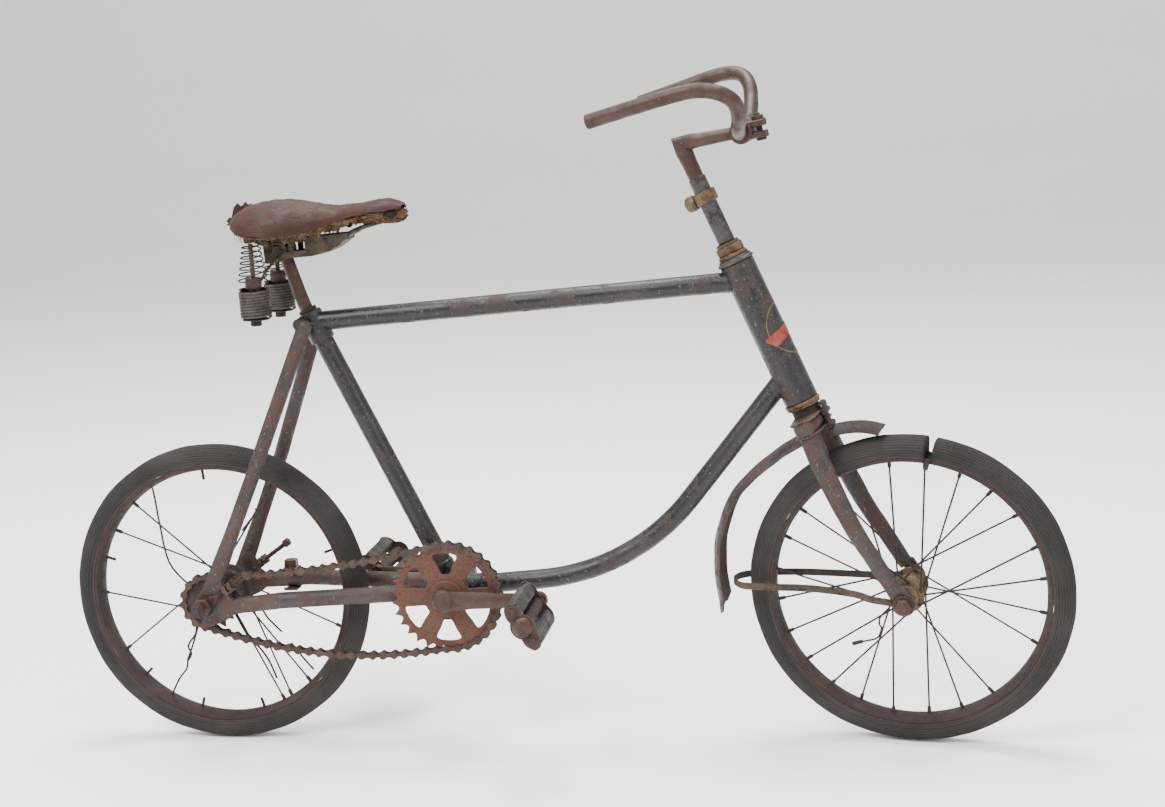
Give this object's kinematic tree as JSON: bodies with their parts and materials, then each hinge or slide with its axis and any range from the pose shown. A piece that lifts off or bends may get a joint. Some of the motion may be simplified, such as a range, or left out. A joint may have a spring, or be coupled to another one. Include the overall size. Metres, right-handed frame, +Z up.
{
  "type": "bicycle",
  "caption": "Rusty abandoned child's bicycle with a curved down tube, leather saddle on coil springs, swept handlebar, torn front mudguard and missing spokes.",
  "frame": {"origin": "the top of the saddle, where the rider holds the machine", "axes": "+X forwards, +Y to the rider's left, +Z up; the chain is on the right, at -Y; the ground is at Z = -0.631"},
  "size_m": [1.1482, 0.322, 0.7561],
  "materials": {
    "enamel": "worn black enamel, rusting",
    "rust": "rough brown rust over steel",
    "dark_rust": "dark rust over steel",
    "dull_steel": "dull grey steel",
    "brass": "dirty worn brass",
    "rubber": "perished black rubber",
    "tyre": "perished solid rubber tyre, dusty",
    "leather": "cracked dry brown leather",
    "chain": "rusted chain"
  },
  "bodies": {
    "frame": {"head_tube": "enamel", "seat_lug": "enamel", "seat_tube": "enamel", "top_tube": "enamel", "down_tube": "enamel", "bracket_shell": "enamel", "left_seat_stay": "enamel", "right_seat_stay": "enamel", "left_chain_stay": "enamel", "right_chain_stay": "enamel", "rear_axle": "dark_rust", "brake_arm": "rust", "left_chain_adjuster": "rust", "right_chain_adjuster": "rust", "chain": "chain", "saddle_leather": "leather", "saddle_frame": "rust", "saddle_post": "rust", "left_saddle_spring": "dark_rust", "right_saddle_spring": "dark_rust", "lower_head_race": "brass", "upper_head_race": "dull_steel"},
    "steering": {"fork": "enamel", "front_axle": "rust", "head_locknut": "brass", "rear_mudguard": "dark_rust", "front_mudguard": "dark_rust", "mudguard_stay": "dark_rust", "stem_sleeve": "dull_steel", "stem": "rust", "stem_collar": "brass", "handlebar": "rust"},
    "front_wheel": {"front_wheel": "dark_rust", "front_tyre": "tyre"},
    "rear_wheel": {"rear_wheel": "dark_rust", "rear_tyre": "tyre"},
    "crankset": {"crankset": "rust"},
    "rear_sprocket": {"rear_sprocket": "dark_rust"},
    "left_pedal": {"left_pedal_frame": "rust", "left_pedal_block_1": "rubber", "left_pedal_block_2": "rubber"},
    "right_pedal": {"right_pedal_frame": "rust", "right_pedal_block_1": "rubber", "right_pedal_block_2": "rubber"}
  },
  "joints": [
    {"name": "steering", "type": "hinge", "parent": "frame", "child": "steering", "pos_m": [0.4956, 0, -0.0854], "axis": [-0.396, 0, 0.9182], "range_deg": [-35, 55]},
    {"name": "front_wheel_spin", "type": "hinge", "parent": "steering", "child": "front_wheel", "pos_m": [0.67444, -0.00328, -0.45311], "axis": [0.1595, 0.9848, 0.0688], "continuous": true},
    {"name": "rear_wheel_spin", "type": "hinge", "parent": "frame", "child": "rear_wheel", "pos_m": [-0.12, 0, -0.453], "axis": [0, 1, 0], "continuous": true},
    {"name": "crank_spin", "type": "hinge", "parent": "frame", "child": "crankset", "pos_m": [0.1606, 0, -0.448], "axis": [0, 1, 0], "continuous": true},
    {"name": "sprocket_spin", "type": "hinge", "parent": "frame", "child": "rear_sprocket", "pos_m": [-0.12, 0, -0.453], "axis": [0, 1, 0], "continuous": true},
    {"name": "left_pedal_spin", "type": "hinge", "parent": "crankset", "child": "left_pedal", "pos_m": [0.0526, 0, -0.448], "axis": [0, 1, 0], "continuous": true},
    {"name": "right_pedal_spin", "type": "hinge", "parent": "crankset", "child": "right_pedal", "pos_m": [0.2686, 0, -0.448], "axis": [0, 1, 0], "continuous": true}
  ],
  "couplings": [
    {"joint": "sprocket_spin", "follows": "crank_spin", "ratio": 2}
  ]
}
